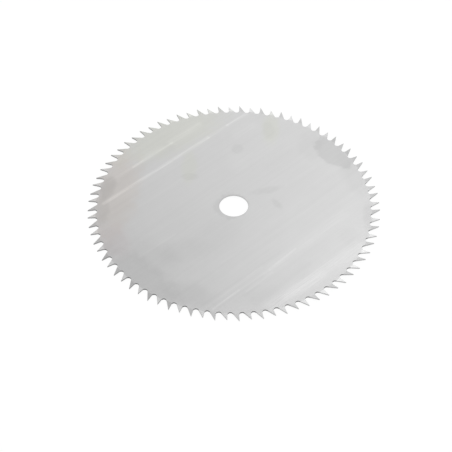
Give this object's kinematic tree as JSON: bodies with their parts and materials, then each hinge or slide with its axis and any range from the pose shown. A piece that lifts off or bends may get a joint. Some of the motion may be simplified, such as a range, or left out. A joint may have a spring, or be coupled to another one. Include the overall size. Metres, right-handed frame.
{
  "type": "brush cutter blade",
  "caption": "Flat round steel saw blade with a central arbor bore and a rim of pointed teeth bent up and down in turn.",
  "frame": {"origin": "centre of the bore, half way through the plate", "axes": "+Z along the bore, square to the plate; +X through the point of a tooth that is bent up; seen from +Z the teeth point anticlockwise"},
  "size_m": [0.255, 0.255, 0.0028],
  "materials": {
    "steel": "satin, ground with a slanting grain, lightly stained"
  },
  "bodies": {
    "root": {"blade": "steel"}
  },
  "joints": []
}
